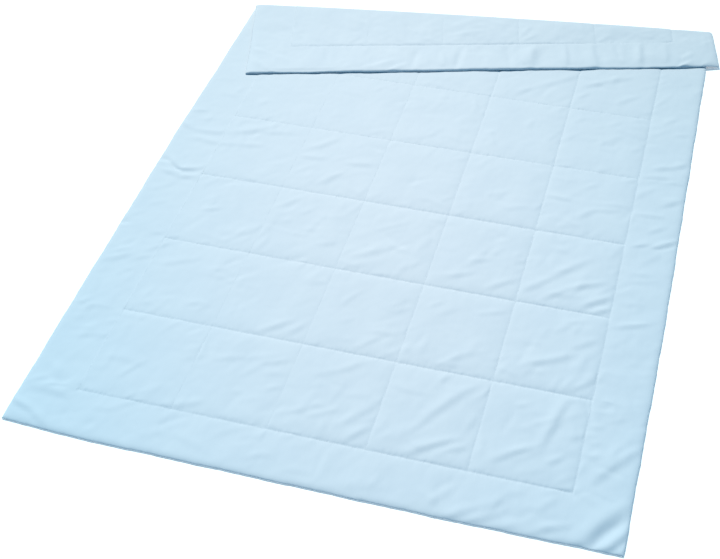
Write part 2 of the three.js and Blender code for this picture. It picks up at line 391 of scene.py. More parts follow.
print(len(LYING_CREASES), "creases on the lying face,", len(FLAP_CREASES), "on the flap")

# %% [markdown]
# ## Small wrinkles
# Between the creases the cover is full of short, shallow wrinkles. They slant the way the cloth was pulled
# and follow no plan, so a seeded draw places them. They are higher to the right and the near end, where
# the real cloth is most creased.

# %% Draw the small wrinkles
WRINKLES_PER_METRE = 360
WRINKLE_LENGTH, WRINKLE_RISE, WRINKLE_REACH = (25, 85), (0.55, 1.4), (5, 8)
WRINKLE_SLANT, SLANT_SPREAD, WRINKLE_BOW = 38, 32, 4
WRINKLE_MARGIN, LYING_SPAN, FLAP_SPAN = 10, (-990, 600), (740, 1000)
LIVELY_MIDDLE, LIVELY_RIGHT, LIVELY_NEAR, LIVELY_LIMITS = 0.85, 0.12, 0.35, (0.4, 1.2)
draw = np.random.default_rng(5)


def wrinkle_rows(near, far):
    """Rows like those of the creases, for the cloth between two places along it."""
    count = round(WRINKLES_PER_METRE * (far - near) * MM)
    side = WIDTH / 2 - WRINKLE_MARGIN
    start = draw.uniform((-side, near), (side, far), (count, 2))
    slant = np.radians(draw.normal(WRINKLE_SLANT, SLANT_SPREAD, count))
    run = draw.uniform(*WRINKLE_LENGTH, count)[:, None] * np.stack((np.cos(slant), np.sin(slant)), -1)
    bow = draw.uniform(-WRINKLE_BOW, WRINKLE_BOW, count)
    right_share, far_share = start[:, 0] / (WIDTH / 2), start[:, 1] / (LENGTH / 2)
    lively = np.clip(LIVELY_MIDDLE + LIVELY_RIGHT * right_share - LIVELY_NEAR * far_share, *LIVELY_LIMITS)
    rise = draw.uniform(*WRINKLE_RISE, count) * lively * draw.choice((1, 1, 1, -1), count)
    reach = draw.uniform(*WRINKLE_REACH, count)
    return np.column_stack((start, start + run, bow, rise, reach)).tolist()


lying_wrinkles = wrinkle_rows(*LYING_SPAN)
flap_wrinkles = wrinkle_rows(*FLAP_SPAN)
print(len(lying_wrinkles), "small wrinkles on the lying face,", len(flap_wrinkles), "on the flap")

# %% [markdown]
# ## Slack in the cover
# The seams are sewn a little tight, so the cover has spare cloth between them and buckles all over. Drawn
# noise looks like noise, so a cloth simulation finds that: one cover, held on the seams and the edge and
# lightly by the wadding, grows by less than half a percent and has to buckle. The slack is greatest at
# the right and the near end. The broad swelling is left out, because the wadding takes it up.

# %% A coarse net for the simulation
SLACK_STEP = 12


def evenly(marks, step):
    """Lines through all the marks, about one step apart."""
    spans = [np.linspace(a, b, round((b - a) / step), endpoint=False) for a, b in zip(marks[:-1], marks[1:])]
    return np.concatenate(spans + [marks[-1:]])


slack_x = evenly(np.concatenate(([-WIDTH / 2], seam_x, [WIDTH / 2])), SLACK_STEP)
slack_y = evenly(np.concatenate(([-LENGTH / 2], seam_y, [LENGTH / 2])), SLACK_STEP)


def quads(columns, rows):
    """Corner numbers of the squares of a net, column by column."""
    number = np.arange(columns * rows).reshape(columns, rows)
    corners = (number[:-1, :-1], number[1:, :-1], number[1:, 1:], number[:-1, 1:])
    return np.stack(corners, -1).reshape(-1, 4)


def new_object(name, points_mm, faces):
    mesh = bpy.data.meshes.new(name)
    mesh.from_pydata((points_mm * MM).tolist(), [], faces)
    made = bpy.data.objects.new(name, mesh)
    scene.collection.objects.link(made)
    return made


print("slack net of", len(slack_x), "by", len(slack_y), "points")

# %% Where the cover is tight, and how its swelling is evened
TIGHT_MIDDLE, TIGHT_LEFT, TIGHT_FAR, TIGHT_MOST = 0.4, 0.35, 0.25, 0.85


def tightness(x, y):
    """0 where the cover has all of its slack, 1 where it has none."""
    tight = TIGHT_MIDDLE - TIGHT_LEFT * x / (WIDTH / 2) + TIGHT_FAR * y / (LENGTH / 2)
    return np.clip(tight, 0, TIGHT_MOST)


def neighbours(count):
    return np.maximum(np.arange(count) - 1, 0), np.minimum(np.arange(count) + 1, count - 1)


def evened(field, passes):
    """The field with each point averaged with its neighbours, again and again."""
    for _ in range(passes):
        for way in (0, 1):
            before, after = (np.take(field, turn, way) for turn in neighbours(field.shape[way]))
            field = (before + field + after) / 3
    return field


print("tightest at the far left:", round(float(tightness(-WIDTH / 2, LENGTH / 2)), 2))

# %% Let the slack cover settle
EDGE_REACH = 14
SLACK, WADDING_HOLD, UNEVENNESS = 0.004, 0.02, 0.25
SETTLE_FRAMES, SWELL_PASSES = 14, 14
random = np.random.default_rng(11)


def settled_slack():
    """How far the slack cover moves from its smooth shape, as a field on the coarse net."""
    x, y = np.meshgrid(slack_x, slack_y, indexing="ij")
    full = swell(to_edge(x, y), EDGE_REACH)
    smooth = (loft(x, y) + creased(x, y, LYING_CREASES)) * full
    points = np.stack((x, y, smooth + random.normal(0, UNEVENNESS, x.shape)), -1).reshape(-1, 3)
    cover = new_object("slack_cover", points, quads(*x.shape).tolist())
    to_sewing = np.minimum(to_seam(x, y), to_edge(x, y))
    weights = {"held": np.where(to_sewing < 0.01, 1, WADDING_HOLD), "tight": tightness(x, y).round(2)}
    for name, weight in weights.items():
        group = cover.vertex_groups.new(name=name)
        for value in np.unique(weight):
            group.add(np.flatnonzero(weight == value).tolist(), float(value), "REPLACE")
    cloth = cover.modifiers.new("slack", "CLOTH")
    settings = cloth.settings
    settings.mass = 0.05
    settings.air_damping = 2
    settings.tension_stiffness = settings.compression_stiffness = 15
    settings.shear_stiffness = 9
    settings.bending_stiffness = 5
    settings.vertex_group_mass = "held"
    settings.pin_stiffness = 1
    settings.vertex_group_shrink = "tight"
    settings.shrink_min, settings.shrink_max = -SLACK, 0
    settings.effector_weights.gravity = 0
    cloth.collision_settings.use_collision = False
    cloth.point_cache.frame_start, cloth.point_cache.frame_end = 1, SETTLE_FRAMES
    for number in range(1, SETTLE_FRAMES + 1):
        scene.frame_set(number)
    settled = cover.evaluated_get(bpy.context.evaluated_depsgraph_get()).to_mesh()
    places = np.empty(len(points) * 3)
    settled.vertices.foreach_get("co", places)
    scene.frame_set(1)
    bpy.data.objects.remove(cover)
    moved = places.reshape(*x.shape, 3) / MM - np.stack((x, y, smooth), -1)
    swelling = evened(moved[..., 2], SWELL_PASSES) * swell(to_sewing, CROWN_REACH / 2)
    print("broad swelling taken up by the wadding: most", round(float(swelling.max()), 1), "mm")
    moved[..., 2] -= swelling
    return moved


slack = settled_slack()
print("the cover buckles by", round(float(np.abs(slack[..., 2]).max()), 2), "mm at most")

# %% [markdown]
# ## The net of the finished cloth
# The two covers are one net of lines, close together at the seams and the edge where the cloth turns
# sharply, and wider apart between. In the last row of squares the lines run with the fold, so that the
# round nose of the fold has lines of its own.

# %% Lines of the fine net
NET_STEP = 6.8
SEAM_LINES = np.array([2.2, 5, 9, 15])
EDGE_LINES = np.array([0.7, 2, 4, 7, 12])
FOLD_AT = 742
FOLD_SKEW = math.radians(7)
NOSE_RADIUS = 11.5
NOSE_STEPS, HIDDEN_STEPS = 18, 8
FLAP_STEPS, FLAP_CROWDING = 26, 1.25
nose_reach = math.pi * NOSE_RADIUS / 2


def spread(start, end, after, before, step):
    """Lines from start up to end: the close ones after start and before end, and even steps between."""
    low, high = start + after[-1], end - before[-1]
    steps = max(round((high - low) / step), 1)
    between = np.linspace(low, high, steps + 1)[1:-1]
    return np.concatenate(([start], start + after, between, (end - before)[::-1]))


def lines_across():
    spans = [spread(-WIDTH / 2, seam_x[0], EDGE_LINES, SEAM_LINES, NET_STEP)]
    spans += [spread(a, b, SEAM_LINES, SEAM_LINES, NET_STEP) for a, b in zip(seam_x[:-1], seam_x[1:])]
    spans += [spread(seam_x[-1], WIDTH / 2, SEAM_LINES, EDGE_LINES, NET_STEP), [WIDTH / 2]]
    return np.concatenate(spans)


def lines_along(x):
    """Places of the lines along the cloth, at each x: a row for each line."""
    spans = [spread(-LENGTH / 2, seam_y[0], EDGE_LINES, SEAM_LINES, NET_STEP)]
    spans += [spread(a, b, SEAM_LINES, SEAM_LINES, NET_STEP) for a, b in zip(seam_y[:-2], seam_y[1:-1])]
    lying = np.repeat(np.concatenate(spans)[:, None], len(x), 1)
    fold = FOLD_AT + x * math.tan(FOLD_SKEW)
    reach = nose_reach / math.cos(FOLD_SKEW)
    share = np.linspace(0, 1, HIDDEN_STEPS, endpoint=False)[:, None]
    hidden = seam_y[-2] + (fold - reach - seam_y[-2]) * share
    nose = fold + reach * np.linspace(-1, 1, NOSE_STEPS, endpoint=False)[:, None]
    share = np.linspace(0, 1, FLAP_STEPS, endpoint=False)[:, None]
    flap = fold + reach + (seam_y[-1] - fold - reach) * (1 - (1 - share) ** FLAP_CROWDING)
    border = np.concatenate((spread(seam_y[-1], LENGTH / 2, SEAM_LINES, EDGE_LINES, NET_STEP), [LENGTH / 2]))
    return np.concatenate((lying, hidden, nose, flap, np.repeat(border[:, None], len(x), 1)))


across = lines_across()
net_y = lines_along(across).T
net_x = np.repeat(across[:, None], net_y.shape[1], 1)
print("fine net of", net_x.shape[0], "by", net_x.shape[1], "points a face")

# %% [markdown]
# ## From the flat cloth to the folded one
# A point of the cloth has a place (x, y) and a height in the loft. Before the fold it stays where it is,
# round the nose it turns on a circle, and past it it comes back on top, upside down. The sewn edges
# wander by a few millimetres, and the free edge of the flap lifts here and there.

# %% The wandering edges
LEFT_EDGE = [(-1000, 5), (-500, 8), (0, 9), (400, 3), (1000, -6)]
RIGHT_EDGE = [(-1000, -5), (-350, 0), (100, -2), (600, -4), (1000, -8)]
NEAR_EDGE = [(-700, 1), (-500, 9), (300, 11), (700, 8)]
FAR_EDGE = [(-700, 12), (-350, 9), (250, 3), (560, 0), (700, -6)]
RIPPLES = [(190, 0.5), (87, 0.3), (41, 0.2), (23, 0.15)]


def rippled(place, start):
    """Small waves along an edge."""
    return sum(size * np.sin(2 * math.pi * place / wave + start * wave) for wave, size in RIPPLES)


def wandered(x, y):
    side = np.where(x < 0, eased(LEFT_EDGE, y) + rippled(y, 0.3), eased(RIGHT_EDGE, y) + rippled(y, 1.1))
    end = np.where(y < 0, eased(NEAR_EDGE, x) + rippled(x, 2.3), eased(FAR_EDGE, x) + rippled(x, 3.9))
    side_share = np.maximum(np.abs(x) - seam_x[-1], 0) / SIDE_BORDER
    end_share = np.maximum(np.abs(y) - seam_y[-1], 0) / END_BORDER
    return x + side * side_share * np.sign(x), y + end * end_share * np.sign(y)


edge_rows = LEFT_EDGE + RIGHT_EDGE + NEAR_EDGE + FAR_EDGE
print("edges wander by up to", max(abs(away) for _, away in edge_rows), "mm")

# %% The fold
NOSE_BOW, NOSE_BLEND = 9, 90
TAUT_FULL, TAUT_END = 12, 34
FLAP_SETTLE, FLAP_SETTLE_LENGTH = 5.2, 150
OVERHANG_DROP, OVERHANG_REACH = 5, 40
LIFT_ACROSS = (-700, -640, -540, -360, -240, 117, 240, 700)
FREE_EDGE_LIFT = list(zip(LIFT_ACROSS, (1, 0.7, 0.1, 0.9, 0.3, 0.6, 0.3, 0)))


def smooth(value, low, high):
    share = np.clip((value - low) / (high - low), 0, 1)
    return share * share * (3 - 2 * share)


def past_fold(x, y):
    return (y - FOLD_AT - x * math.tan(FOLD_SKEW)) * math.cos(FOLD_SKEW)


def turned(x, y):
    """0 where the cloth lies, 1 on the flap."""
    return smooth(past_fold(x, y), -nose_reach, nose_reach)


def tautness(x, y):
    """1 on the fold, falling to 0 on both sides."""
    return 1 - smooth(np.abs(past_fold(x, y)), TAUT_FULL, TAUT_END)


def folded(flat_x, flat_y, height):
    x, y = wandered(flat_x, flat_y)
    past = past_fold(x, y)
    line_x, line_y = x + past * math.sin(FOLD_SKEW), y - past * math.cos(FOLD_SKEW)
    turn = np.clip((past + nose_reach) / NOSE_RADIUS, 0, math.pi)
    beyond = np.maximum(past - nose_reach, 0)
    radius = NOSE_RADIUS - height
    out = np.minimum(past, -nose_reach) + radius * np.sin(turn) - beyond
    z = NOSE_RADIUS - radius * np.cos(turn)
    out = out + NOSE_BOW * (1 - (line_x / (WIDTH / 2)) ** 2) * (1 - smooth(np.abs(past), 0, NOSE_BLEND))
    z = z - FLAP_SETTLE * smooth(beyond, 0, FLAP_SETTLE_LENGTH)
    z = z + eased(FREE_EDGE_LIFT, flat_x) * smooth(flat_y, seam_y[-1], LENGTH / 2) * (beyond > 0)
    place_x, place_y = line_x - out * math.sin(FOLD_SKEW), line_y + out * math.cos(FOLD_SKEW)
    overhang = smooth(place_x - WIDTH / 2, 0, OVERHANG_REACH)
    z = z - OVERHANG_DROP * overhang * smooth(beyond, 0, FLAP_SETTLE_LENGTH)
    return np.stack((place_x, place_y, z), -1)


print("the flap is", round(LENGTH / 2 - FOLD_AT), "mm deep in the middle")

# %% [markdown]
# ## The two faces
# The face that lies down takes a small share of each pinch, and the other face the rest. Past the fold
# they change places. What the simulation found is read off its coarse net with a smooth cubic, and the
# flap, which shows the other cover, borrows it from the near end. Its free edge is slimmer to the right.

# %% Read the wrinkles off the coarse net
def cubic_weights(share):
    """Weights of the four points around each place on a smooth cubic."""
    s, s2, s3 = share, share**2, share**3
    return np.stack((-s + 2 * s2 - s3, 2 - 5 * s2 + 3 * s3, s + 4 * s2 - 3 * s3, s3 - s2), -1) / 2


def read_net(field, lines_x, lines_y, x, y):
    column = np.clip(np.searchsorted(lines_x, x, "right") - 1, 0, len(lines_x) - 2)
    row = np.clip(np.searchsorted(lines_y, y, "right") - 1, 0, len(lines_y) - 2)
    weight_x = cubic_weights((x - lines_x[column]) / (lines_x[column + 1] - lines_x[column]))
    weight_y = cubic_weights((y - lines_y[row]) / (lines_y[row + 1] - lines_y[row]))
    value = np.zeros(x.shape + field.shape[2:])
    for i in range(4):
        near_column = np.clip(column + i - 1, 0, len(lines_x) - 1)
        for j in range(4):
            near_row = np.clip(row + j - 1, 0, len(lines_y) - 1)
            value += (weight_x[..., i] * weight_y[..., j])[..., None] * field[near_column, near_row]
    return value


lying_slack = read_net(slack, slack_x, slack_y, net_x, net_y)
flap_slack = read_net(slack, slack_x, slack_y, net_x, -net_y) * (1, -1, 1)
print("wrinkles read at", lying_slack[..., 0].size, "points")

# %% Heights of both faces
FREE_EDGE_REACH, OVERHANG_EDGE_REACH, FLAP_SIDE_REACH = 5, 24, 26
OVERHANG_START, OVERHANG_FULL = 600, 670
EDGE_RISE, FREE_EDGE_RISE, UNDER_SHARE = 2.5, 1.0, 0.2
LYING_SLACK, FLAP_SLACK, WRINKLE_CLEAR = 0.4, 0.6, 12
FREE_EDGE_SLIM = [(-700, 0.1), (-240, 0.12), (0, 0), (300, 0.12), (480, 0.4), (700, 0)]
SLIM_REACH = 40
turn = turned(net_x, net_y)
overhang = smooth(net_x, OVERHANG_START, OVERHANG_FULL)
free_reach = FREE_EDGE_REACH + (OVERHANG_EDGE_REACH - FREE_EDGE_REACH) * overhang
end_reach = np.where(net_y > 0, free_reach, EDGE_REACH)
side_reach = EDGE_REACH + (FLAP_SIDE_REACH - EDGE_REACH) * turn * (net_x < 0)
from_side, from_end = WIDTH / 2 - np.abs(net_x), LENGTH / 2 - np.abs(net_y)
full = swell(np.minimum(from_side / side_reach, from_end / end_reach), 1)
rise = EDGE_RISE + (FREE_EDGE_RISE - EDGE_RISE) * turn
loose = 1 - tautness(net_x, net_y)
lofted = loft(net_x, net_y, 1 - loose)
resting = UNDER_SHARE * (SQUARE_LOFT - lofted) + rise * (1 - full)
creases = [creased(net_x, net_y, rows) for rows in (LYING_CREASES, FLAP_CREASES)]
wrinkles = [creased(net_x, net_y, rows, WRINKLE_CLEAR) for rows in (lying_wrinkles, flap_wrinkles)]
relief_lying = (creases[0] + wrinkles[0] + LYING_SLACK * lying_slack[..., 2]) * loose
relief_flap = (creases[1] + wrinkles[1] + FLAP_SLACK * flap_slack[..., 2]) * loose
slim = eased(FREE_EDGE_SLIM, net_x) * smooth(SLIM_REACH - from_end, 0, SLIM_REACH) * turn
thickness = (lofted + relief_lying * (1 - turn) + relief_flap * turn) * full * (1 - slim)
under = resting * (1 - turn) + (SQUARE_LOFT - resting - thickness) * turn
upper = under + thickness
print("thickest", round(float(thickness.max()), 1), "mm")

# %% [markdown]
# ## The duvet's mesh
# Both faces share their outermost points, as two covers sewn together share their edge seam. What no one
# sees, the underside and the layers inside the fold, is thinned with a Decimate modifier, so that the
# faces that show can be fine.

# %% Join the two faces
def face_points(height, shift):
    return folded(net_x + shift[..., 0] * full, net_y + shift[..., 1] * full, height)


upper_points = face_points(upper, lying_slack * (1 - turn)[..., None])
under_points = face_points(under, flap_slack * turn[..., None])
columns, rows = net_x.shape
number = np.arange(columns * rows).reshape(columns, rows)
on_edge = np.ones_like(number, bool)
on_edge[1:-1, 1:-1] = False
under_number = number.copy()
under_number[~on_edge] = columns * rows + np.arange((~on_edge).sum())
points = np.concatenate((upper_points.reshape(-1, 3), under_points[~on_edge]))
squares = quads(columns, rows)
faces = np.concatenate((squares, under_number.ravel()[squares][:, ::-1]))
duvet = new_object("quilted_duvet", points, faces.tolist())
duvet.data.shade_smooth()
print("before thinning:", len(points), "points,", 2 * len(faces), "triangles")

# %% Flat coordinates for the finish
flat = np.stack((net_x, net_y), -1)
flat_points = np.concatenate((flat.reshape(-1, 2), flat[~on_edge]))
corner_points = np.empty(len(duvet.data.loops), int)
duvet.data.loops.foreach_get("vertex_index", corner_points)
cut = duvet.data.uv_layers.new(name="cut")
cut.data.foreach_set("uv", (flat_points[corner_points] * MM).ravel())


def cross_gap(lines, place, other, other_lines):
    """Distance to the nearest seam that runs one way, large past the border seam's ends."""
    gap = nearest(lines, place)
    return gap + 1000 * (np.abs(other) > other_lines[-1] + 0.01)


PUCKER_REACH = 16
slack_seam = PUCKER_REACH * (1 - eased(LONG_GROOVES, flat_points[:, 0]))
gaps = {
    "gap_to_long_seam": slack_seam + cross_gap(seam_x, flat_points[:, 0], flat_points[:, 1], seam_y),
    "gap_to_cross_seam": cross_gap(seam_y, flat_points[:, 1], flat_points[:, 0], seam_x),
}
for name, gap in gaps.items():
    layer = duvet.data.attributes.new(name, "FLOAT", "POINT")
    layer.data.foreach_set("value", np.minimum(gap, 1000).astype(np.float32))
print("stored", ", ".join(gaps))

# %% Thin what no one sees
VISIBLE_MARGIN, THINNED_SHARE = 25, 0.93
past = past_fold(net_x, net_y)
mirrored_x = net_x + 2 * past * math.sin(FOLD_SKEW)
mirrored_y = net_y - 2 * past * math.cos(FOLD_SKEW)
below_flap = (past < 0) & (to_edge(mirrored_x, mirrored_y) > VISIBLE_MARGIN) & (mirrored_y > 0)
inside = (past > -nose_reach) | below_flap
floor_side = past < -nose_reach
clear_of_edge = to_edge(net_x, net_y) > VISIBLE_MARGIN
unseen = np.concatenate(((inside & clear_of_edge).ravel(), (floor_side & clear_of_edge)[~on_edge]))
group = duvet.vertex_groups.new(name="unseen")
group.add(np.flatnonzero(unseen).tolist(), 1.0, "REPLACE")
thin = duvet.modifiers.new("thin_unseen", "DECIMATE")
thin.vertex_group = group.name
thin.ratio = 1 - THINNED_SHARE * unseen.mean()
thinned = bpy.data.meshes.new_from_object(duvet.evaluated_get(bpy.context.evaluated_depsgraph_get()))
duvet.modifiers.clear()
duvet.data = thinned
duvet.vertex_groups.clear()
print("after thinning:", sum(len(p.vertices) - 2 for p in thinned.polygons), "triangles")

# %% [markdown]
# ## The stitching
# The seams are a lockstitch of fine thread in the cloth's own colour: short stitches end to end, each
# one rising out of its needle hole and dipping into the next. They are small spindles joined into one
# mesh, made on the flat cloth and carried over the fold by the same function as the cloth.

# %% One stitch
STITCH_LENGTH, THREAD, TAPER = 3.2, 0.24, 1.6
HOLE_DEPTH, THREAD_RISE = 0.2, 0.04
RING_SHARES = np.array([-0.32, 0.0, 0.32])
SIDES = 4


def stitch_points():
    """Share of the length, place aside and height of each point, from needle hole to needle hole."""
    angles = 2 * math.pi * np.arange(SIDES) / SIDES
    profile = [(-0.5, 0, -HOLE_DEPTH)]
    for share in RING_SHARES:
        bulge = THREAD * (1 - TAPER * share**2)
        profile += [(share, bulge * math.cos(a), THREAD_RISE + bulge * math.sin(a)) for a in angles]
    return np.array(profile + [(0.5, 0, -HOLE_DEPTH)])


def stitch_faces():
    """Corners of each face. The ends are triangles, which name their last corner twice."""
    last = 1 + SIDES * len(RING_SHARES)
    made = []
    for k in range(SIDES):
        following = (k + 1) % SIDES
        made.append((0, 1 + following, 1 + k, 1 + k))
        for ring in range(len(RING_SHARES) - 1):
            a, b = 1 + ring * SIDES + k, 1 + ring * SIDES + following
            made.append((a, b, b + SIDES, a + SIDES))
        a, b = last - SIDES + k, last - SIDES + following
        made.append((a, b, last, last))
    return np.array(made)


print("one stitch has", len(stitch_points()), "points and", len(stitch_faces()), "faces")

# %% Spindles along every seam
STITCH_PITCH = 3.8
HIDDEN_SEAM = 120


def stitches_along(start, end, face):
    """Points of the stitches on a straight seam: (stitch, point, xyz)."""
    run = np.subtract(end, start)
    length = np.hypot(*run)
    along = run / length
    middles = np.arange(STITCH_PITCH / 2, length, STITCH_PITCH)
    middle_x, middle_y = start[0] + along[0] * middles, start[1] + along[1] * middles
    pinched = SQUARE_LOFT - loft(middle_x, middle_y, tautness(middle_x, middle_y))
    deep = SQUARE_LOFT - (1 - UNDER_SHARE) * pinched
    share, aside, rise = stitch_points().T
    offset = share * STITCH_LENGTH
    x = middle_x[:, None] + along[0] * offset - along[1] * aside
    y = middle_y[:, None] + along[1] * offset + along[0] * aside
    if face == "upper":
        return folded(x, y, deep[:, None] + rise)
    return folded(x, y, (SQUARE_LOFT - deep)[:, None] - rise)


seams = []
for x in seam_x:
    fold = FOLD_AT + x * math.tan(FOLD_SKEW)
    seams.append(((x, seam_y[0]), (x, fold - HIDDEN_SEAM), "upper"))
    seams.append(((x, fold + nose_reach), (x, seam_y[-1]), "under"))
for y in seam_y[:-2]:
    seams.append(((seam_x[0], y), (seam_x[-1], y), "upper"))
seams.append(((seam_x[0], seam_y[-1]), (seam_x[-1], seam_y[-1]), "under"))
print(len(seams), "lines of stitching")

# %% Join the stitches
stitches = np.concatenate([stitches_along(*seam) for seam in seams])
numbers = stitch_faces() + np.arange(len(stitches))[:, None, None] * stitches.shape[1]
stitch_list = [tuple(dict.fromkeys(face)) for face in numbers.reshape(-1, 4).tolist()]
stitching = new_object("seam_stitching", stitches.reshape(-1, 3), stitch_list)
stitching.data.shade_smooth()
print(len(stitches), "stitches,", sum(len(face) - 2 for face in stitch_list), "triangles")

# %% [markdown]
# ## The plain weave
# Both the cover and the thread are cotton. The cover is a plain weave: each thread passes over one and
# under the next. A node group works out the height of that weave from flat coordinates, so it follows
# the cloth over the fold.

# %% A node group for the weave
def node(tree, kind, place, **values):
    made = tree.nodes.new(kind)
    made.location = place
    for name, value in values.items():
        setattr(made, name, value)
    return made


def maths(tree, operation, place, first, second=None):
    """A Math node whose inputs are sockets or numbers."""
    made = node(tree, "ShaderNodeMath", place, operation=operation)
    for socket, value in zip(made.inputs, (first, second)):
        if isinstance(value, (int, float)):
            socket.default_value = value
        elif value is not None:
            tree.links.new(value, socket)
    return made.outputs[0]


def weave_group():
    tree = bpy.data.node_groups.new("Plain weave", "ShaderNodeTree")
    tree.interface.new_socket("Cut", in_out="INPUT", socket_type="NodeSocketVector")
    tree.interface.new_socket("Threads per metre", in_out="INPUT", socket_type="NodeSocketFloat")
    tree.interface.new_socket("Height", in_out="OUTPUT", socket_type="NodeSocketFloat")
    enter, leave = node(tree, "NodeGroupInput", (-900, 0)), node(tree, "NodeGroupOutput", (700, 0))
    scaled = node(tree, "ShaderNodeVectorMath", (-700, 0), operation="SCALE")
    tree.links.new(enter.outputs["Cut"], scaled.inputs[0])
    tree.links.new(enter.outputs["Threads per metre"], scaled.inputs["Scale"])
    split = node(tree, "ShaderNodeSeparateXYZ", (-520, 0))
    tree.links.new(scaled.outputs[0], split.inputs[0])
    turns = [maths(tree, "MULTIPLY", (-340, -160 * k), split.outputs[k], math.pi) for k in range(2)]
    waves = [maths(tree, "SINE", (-160, -160 * k), turn) for k, turn in enumerate(turns)]
    crowns = [maths(tree, "ABSOLUTE", (20, -160 * k), wave) for k, wave in enumerate(waves)]
    over = maths(tree, "GREATER_THAN", (20, 160), maths(tree, "MULTIPLY", (-160, 160), *waves), 0.0)
    pick = node(tree, "ShaderNodeMix", (240, 0), data_type="FLOAT")
    tree.links.new(over, pick.inputs[0])
    tree.links.new(crowns[0], pick.inputs[2])
    tree.links.new(crowns[1], pick.inputs[3])
    tree.links.new(pick.outputs[0], leave.inputs["Height"])
    return tree


weave = weave_group()
print("weave group with", len(weave.nodes), "nodes")

# %% [markdown]
# ## The cover's finish
# The cotton is a very light blue and nearly matt, with the faint sheen of pressed cotton. Its colour
# wanders a little. Three reliefs that are too fine for the mesh go into the bump: puckers that run
# square to each seam, a soft crinkle all over, and the weave.

# %% Helpers for colour and relief
def mixed(tree, place, share, first, second):
    """A colour between two, each a socket or a colour."""
    made = node(tree, "ShaderNodeMix", place, data_type="RGBA")
    tree.links.new(share, made.inputs[0])
    for socket, value in zip(made.inputs[6:8], (first, second)):
        if isinstance(value, tuple):
            socket.default_value = value
        else:
            tree.links.new(value, socket)
    return made.outputs[2]


def share_between(tree, place, value, start, end, kind):
    """0 at the start and 1 at the end of a range of values."""
    made = node(tree, "ShaderNodeMapRange", place, interpolation_type=kind)
    for name, limit in (("From Min", start), ("From Max", end)):
        made.inputs[name].default_value = limit
    tree.links.new(value, made.inputs["Value"])
    return made.outputs[0]


def noise_at(tree, place, vector, scale, stretch, detail=2.0, rough=0.5):
    """Noise on the flat cloth, drawn out along one way."""
    drawn = node(tree, "ShaderNodeMapping", (place[0] - 200, place[1]))
    drawn.inputs["Scale"].default_value = (*stretch[:2], 1)
    drawn.inputs["Rotation"].default_value = (0, 0, stretch[2])
    tree.links.new(vector, drawn.inputs["Vector"])
    made = node(tree, "ShaderNodeTexNoise", place)
    for name, value in (("Scale", scale), ("Detail", detail), ("Roughness", rough)):
        made.inputs[name].default_value = value
    tree.links.new(drawn.outputs[0], made.inputs["Vector"])
    return made.outputs["Fac"]


def bump(tree, place, height, strength, distance, normal=None):
    made = node(tree, "ShaderNodeBump", place)
    made.inputs["Strength"].default_value = strength
    made.inputs["Distance"].default_value = distance
    tree.links.new(height, made.inputs["Height"])
    if normal is not None:
        tree.links.new(normal, made.inputs["Normal"])
    return made.outputs[0]


def new_material(name):
    made = bpy.data.materials.new(name)
    made.use_nodes = True
    tree = made.node_tree
    return made, tree, tree.nodes["Principled BSDF"]


print("puckers reach", PUCKER_REACH, "mm from a seam")

# %% Cover material
COVER_BLUE = (0.56, 0.63, 0.705, 1)
COVER_DEEP = (0.53, 0.605, 0.69, 1)
TONE_SCALE, EVEN = 9, (1, 1, 0)
PUCKER_SCALE, LONG_STRETCH, CROSS_STRETCH = 90, (0.35, 1, 0), (1, 0.35, 0)
CRINKLE_SCALE, CRINKLE_STRETCH = 38, (1, 0.45, math.radians(-40))
THREADS_PER_METRE = 2200
CRINKLE_BUMP, PUCKER_BUMP, WEAVE_BUMP = (0.38, 0.002), (0.8, 0.0022), (0.25, 0.00008)


def puckers_beside(tree, row, flat, stretch, attribute):
    """Waves square to the seams that run one way, which fade out from them."""
    noise = noise_at(tree, (-960, row), flat, PUCKER_SCALE, stretch)
    wave = maths(tree, "SUBTRACT", (-760, row), noise, 0.5)
    gap = node(tree, "ShaderNodeAttribute", (-1160, row - 220), attribute_name=attribute).outputs["Fac"]
    fade = share_between(tree, (-960, row - 220), gap, PUCKER_REACH, 0, "SMOOTHERSTEP")
    return maths(tree, "MULTIPLY", (-600, row), wave, fade)


def cover_material():
    made, tree, shader = new_material("light_blue_cotton")
    flat = node(tree, "ShaderNodeUVMap", (-1700, 0), uv_map="cut").outputs[0]
    tone = noise_at(tree, (-900, 500), flat, TONE_SCALE, EVEN, 3)
    tree.links.new(mixed(tree, (-600, 500), tone, COVER_BLUE, COVER_DEEP), shader.inputs["Base Color"])
    long_pucker = puckers_beside(tree, 200, flat, LONG_STRETCH, "gap_to_long_seam")
    cross_pucker = puckers_beside(tree, -250, flat, CROSS_STRETCH, "gap_to_cross_seam")
    puckers = maths(tree, "ADD", (-420, -50), long_pucker, cross_pucker)
    crinkle = noise_at(tree, (-900, -700), flat, CRINKLE_SCALE, CRINKLE_STRETCH, 4, 0.55)
    woven = node(tree, "ShaderNodeGroup", (-900, -950), node_tree=weave)
    woven.inputs["Threads per metre"].default_value = THREADS_PER_METRE
    tree.links.new(flat, woven.inputs["Cut"])
    normal = bump(tree, (-400, -600), crinkle, *CRINKLE_BUMP)
    normal = bump(tree, (-220, -450), puckers, *PUCKER_BUMP, normal)
    normal = bump(tree, (-40, -300), woven.outputs["Height"], *WEAVE_BUMP, normal)
    tree.links.new(normal, shader.inputs["Normal"])
    shader.inputs["Roughness"].default_value = 0.82
    shader.inputs["Specular IOR Level"].default_value = 0.3
    shader.inputs["Sheen Weight"].default_value = 0.15
    shader.inputs["Sheen Roughness"].default_value = 0.5
    return made


duvet.data.materials.clear()
duvet.data.materials.append(cover_material())
print("cover material with", len(duvet.data.materials[0].node_tree.nodes), "nodes")
